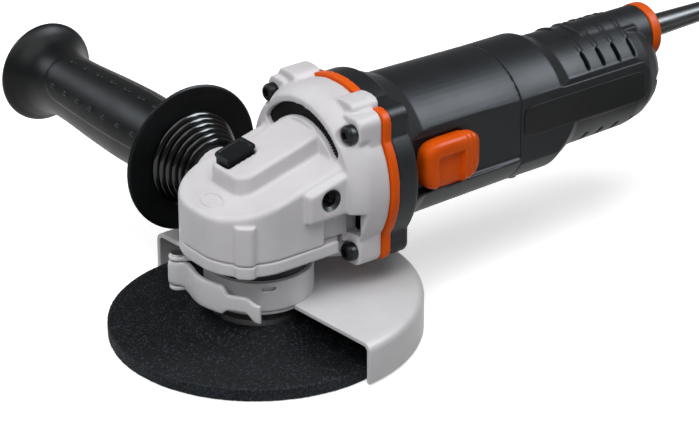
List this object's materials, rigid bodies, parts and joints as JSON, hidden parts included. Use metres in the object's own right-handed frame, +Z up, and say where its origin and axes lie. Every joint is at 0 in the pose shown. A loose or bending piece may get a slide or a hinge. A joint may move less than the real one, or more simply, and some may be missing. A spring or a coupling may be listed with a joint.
{
  "type": "angle grinder",
  "caption": "Corded angle grinder with a cast gear head, side handle, slide switch, spindle lock and a half-round guard on a lever clamp, for grinding and cutting with a spinning disc.",
  "frame": {"origin": "on the spindle axis at the plane of the disc's underside, which is the floor", "axes": "+X along the motor to the cord, +Y to the side handle, +Z up along the spindle"},
  "size_m": [0.4089, 0.3101, 0.1015],
  "materials": {
    "cast_metal": "satin cast",
    "charcoal": "fine texture",
    "orange": "smooth satin",
    "black_plastic": "satin",
    "black_gloss": "smooth",
    "cord_rubber": "smooth",
    "steel": "ground",
    "sheet_steel": "satin plated",
    "black_steel": "blackened",
    "laminated_steel": "laminated",
    "copper": "enamelled wire",
    "contact_brass": "plated",
    "abrasive": "coarse grit",
    "inner_plastic": "moulded",
    "inner_rubber": "matt",
    "carbon": "matt"
  },
  "bodies": {
    "housing": {"gear_case": "cast_metal", "bearing_cover": "cast_metal", "cover_screws": "black_steel", "spindle_bearing": "steel", "dust_seal": "inner_rubber", "needle_bush": "steel", "trim_ring": "orange", "case_screws": "black_steel", "motor_housing": "charcoal", "rear_cover": "charcoal", "rear_cover_screws": "black_steel", "outlet_ring": "orange", "stator_core": "laminated_steel", "field_windings": "copper", "air_baffle": "inner_plastic", "front_bearing": "steel", "rear_bearing": "steel", "bearing_sleeve": "inner_rubber", "brush_holders": "contact_brass", "carbon_brushes": "carbon", "brush_springs": "steel", "switch_body": "inner_plastic", "capacitor": "inner_plastic", "motor_leads": "inner_rubber", "cord_clamp": "inner_plastic", "cord_clamp_screws": "steel", "cord_tail": "cord_rubber", "cord_guard": "cord_rubber", "lock_spring": "steel", "handle_neck": "black_gloss", "handle_grip": "black_plastic", "handle_stud": "steel", "mains_cord": "cord_rubber", "cord_coil": "cord_rubber", "coil_tie": "black_plastic", "plug_body": "cord_rubber", "plug_pins": "contact_brass"},
    "spindle": {"spindle": "steel", "spindle_spacer": "steel", "crown_gear": "steel", "inner_flange": "steel", "grinding_disc": "abrasive", "flange_nut": "black_steel"},
    "armature": {"armature_shaft": "steel", "armature_core": "laminated_steel", "armature_windings": "copper", "commutator": "copper", "fan": "inner_plastic", "pinion": "steel", "pinion_nut": "steel"},
    "lock": {"lock_button": "black_plastic", "lock_pin": "steel"},
    "switch": {"switch_slider": "orange", "switch_rod": "inner_plastic"},
    "guard": {"guard_shell": "sheet_steel", "clamp_band": "sheet_steel", "clamp_pin": "steel"},
    "lever": {"clamp_lever": "sheet_steel"}
  },
  "joints": [
    {"name": "spindle_spin", "type": "hinge", "parent": "housing", "child": "spindle", "pos_m": [0, 0, 0.03], "axis": [0, 0, 1], "continuous": true},
    {"name": "armature_spin", "type": "hinge", "parent": "housing", "child": "armature", "pos_m": [0.08, 0, 0.0633], "axis": [1, 0, 0], "continuous": true},
    {"name": "lock_press", "type": "slide", "parent": "housing", "child": "lock", "axis": [0, 0, -1], "range_m": [0, 0.0035], "stiffness_N_per_m": 800, "springref_m": -0.002, "deforming": ["lock_spring"]},
    {"name": "switch_slide", "type": "slide", "parent": "housing", "child": "switch", "axis": [-1, 0, 0], "range_m": [0, 0.007]},
    {"name": "guard_turn", "type": "hinge", "parent": "housing", "child": "guard", "pos_m": [0, 0, 0.025], "axis": [0, 0, 1], "range_deg": [-30, 75]},
    {"name": "guard_lever", "type": "hinge", "parent": "guard", "child": "lever", "pos_m": [-0.0267, 0.0194, 0.025], "axis": [0, 0, -1], "range_deg": [0, 100]}
  ],
  "couplings": [
    {"joint": "armature_spin", "follows": "spindle_spin", "ratio": 3}
  ]
}
